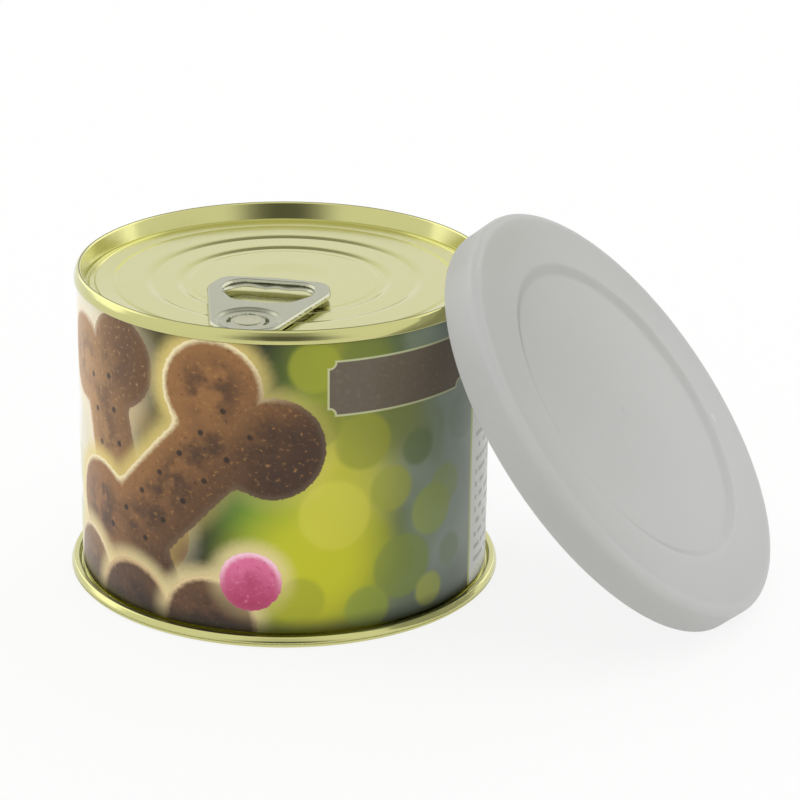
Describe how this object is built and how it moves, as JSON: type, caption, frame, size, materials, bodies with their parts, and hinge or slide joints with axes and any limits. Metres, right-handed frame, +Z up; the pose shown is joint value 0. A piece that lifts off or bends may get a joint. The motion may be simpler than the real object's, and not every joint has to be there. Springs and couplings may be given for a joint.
{
  "type": "dog treat can",
  "caption": "Short gold-lacquered tin of dog treats with a ring-pull end, a wrap-round label and its snap lid leaning against the side.",
  "frame": {"origin": "on the can's axis, in the plane the can stands on", "axes": "+Z up the can's axis, +X towards the side the lid leans on, -Y towards the side with the rivet of the tab"},
  "size_m": [0.1264, 0.0927, 0.0658],
  "materials": {
    "gold_lacquer": "pale gold lacquer on tinplate, semi-gloss",
    "tab_metal": "satin, rolled",
    "label_paper": "coated printed paper with a soft gloss",
    "lid_plastic": "milky translucent polyethylene, satin"
  },
  "bodies": {
    "root": {"can_body": "gold_lacquer", "base_end": "gold_lacquer", "pull_end": "gold_lacquer", "pull_tab": "tab_metal", "label": "label_paper", "snap_lid": "lid_plastic"}
  },
  "joints": []
}
